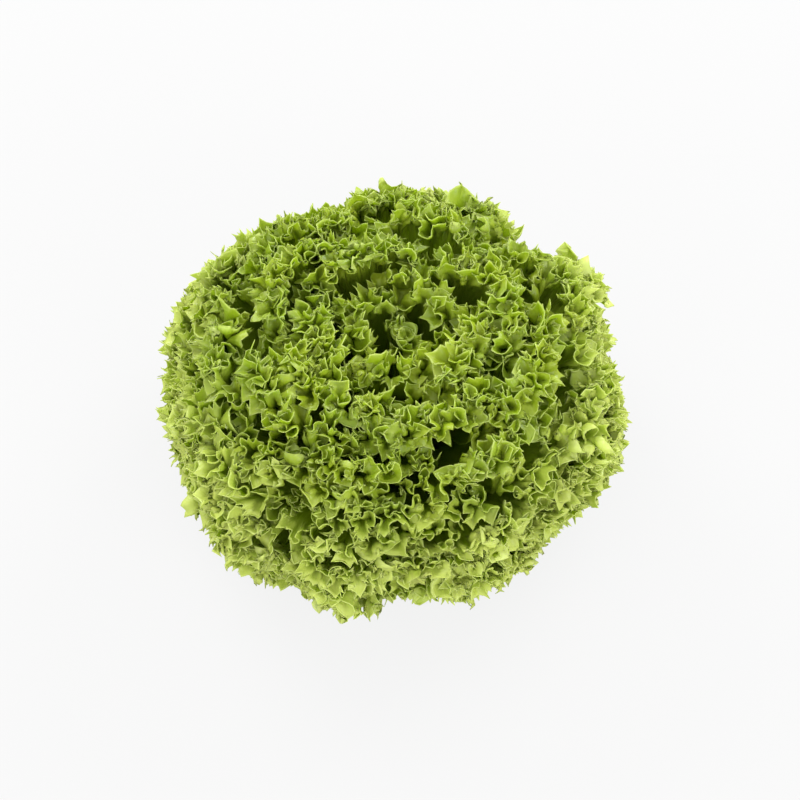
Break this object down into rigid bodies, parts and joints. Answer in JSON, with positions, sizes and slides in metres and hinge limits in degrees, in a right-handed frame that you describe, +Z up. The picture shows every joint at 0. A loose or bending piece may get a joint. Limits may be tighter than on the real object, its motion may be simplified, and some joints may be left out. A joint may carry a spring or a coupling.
{
  "type": "lettuce head",
  "caption": "Frilly green lettuce head, cut at the butt and standing on it: nested ruffled leaves with toothed, waved margins in a dome round a short stem.",
  "frame": {"origin": "centre of the stem's flat cut face, which rests on the table", "axes": "+Z up along the stem towards the heart of the head; the picture looks from the -Y side, downwards, with +X to the right"},
  "size_m": [0.2799, 0.2701, 0.1555],
  "materials": {
    "leaf": "fresh satin leaf, yellow-green with paler margins",
    "stem": "pale green-white flesh, cut across at the bottom"
  },
  "bodies": {
    "root": {"stem": "stem", "leaf_01": "leaf", "leaf_02": "leaf", "leaf_03": "leaf", "leaf_04": "leaf", "leaf_05": "leaf", "leaf_06": "leaf", "leaf_07": "leaf", "leaf_08": "leaf", "leaf_09": "leaf", "leaf_10": "leaf", "leaf_11": "leaf", "leaf_12": "leaf", "leaf_13": "leaf", "leaf_14": "leaf", "leaf_15": "leaf", "leaf_16": "leaf", "leaf_17": "leaf", "leaf_18": "leaf", "leaf_19": "leaf", "leaf_20": "leaf", "leaf_21": "leaf", "leaf_22": "leaf", "leaf_23": "leaf", "leaf_24": "leaf", "leaf_25": "leaf", "leaf_26": "leaf", "leaf_27": "leaf", "leaf_28": "leaf", "leaf_29": "leaf", "leaf_30": "leaf", "leaf_31": "leaf", "leaf_32": "leaf", "leaf_33": "leaf", "leaf_34": "leaf", "leaf_35": "leaf", "leaf_36": "leaf", "leaf_37": "leaf", "leaf_38": "leaf", "leaf_39": "leaf", "leaf_40": "leaf", "leaf_41": "leaf", "leaf_42": "leaf", "leaf_43": "leaf", "leaf_44": "leaf", "leaf_45": "leaf", "leaf_46": "leaf", "leaf_47": "leaf", "leaf_48": "leaf", "leaf_49": "leaf", "leaf_50": "leaf", "leaf_51": "leaf", "leaf_52": "leaf", "leaf_53": "leaf", "leaf_54": "leaf", "leaf_55": "leaf", "leaf_56": "leaf"}
  },
  "joints": []
}
